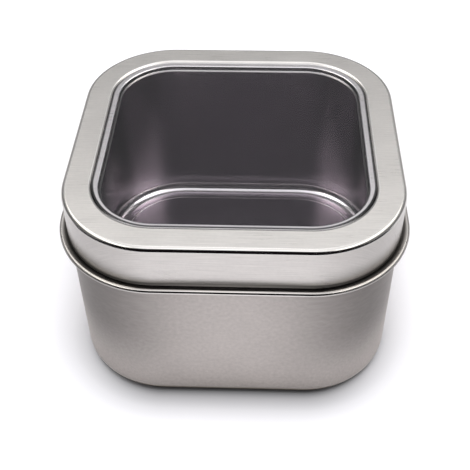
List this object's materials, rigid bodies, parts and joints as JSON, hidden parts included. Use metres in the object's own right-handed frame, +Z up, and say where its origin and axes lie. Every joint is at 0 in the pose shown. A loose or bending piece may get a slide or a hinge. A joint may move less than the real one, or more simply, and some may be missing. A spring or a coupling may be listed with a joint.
{
  "type": "window lid tin",
  "caption": "Square drawn tin with wide round corners, a folded bead round the body and a slip-over lid that frames a clear pane.",
  "frame": {"origin": "middle of the tin's foot, on the surface that it stands on", "axes": "+Z up through the lid, the way the lid lifts; +X and +Y square to the sides"},
  "size_m": [0.0818, 0.0818, 0.0505],
  "materials": {
    "body_tinplate": "bare satin tinplate, random fine scratches, bright where it is folded",
    "lid_tinplate": "bare tinplate brushed from side to side, bright along its bent edges",
    "clear_plastic": "clear glossy sheet"
  },
  "bodies": {
    "tin": {"tin_body": "body_tinplate"},
    "lid": {"lid_shell": "lid_tinplate", "window_pane": "clear_plastic"}
  },
  "joints": [
    {"name": "lid_lift", "type": "slide", "parent": "tin", "child": "lid", "axis": [0, 0, 1], "range_m": [0, 0.04]}
  ]
}
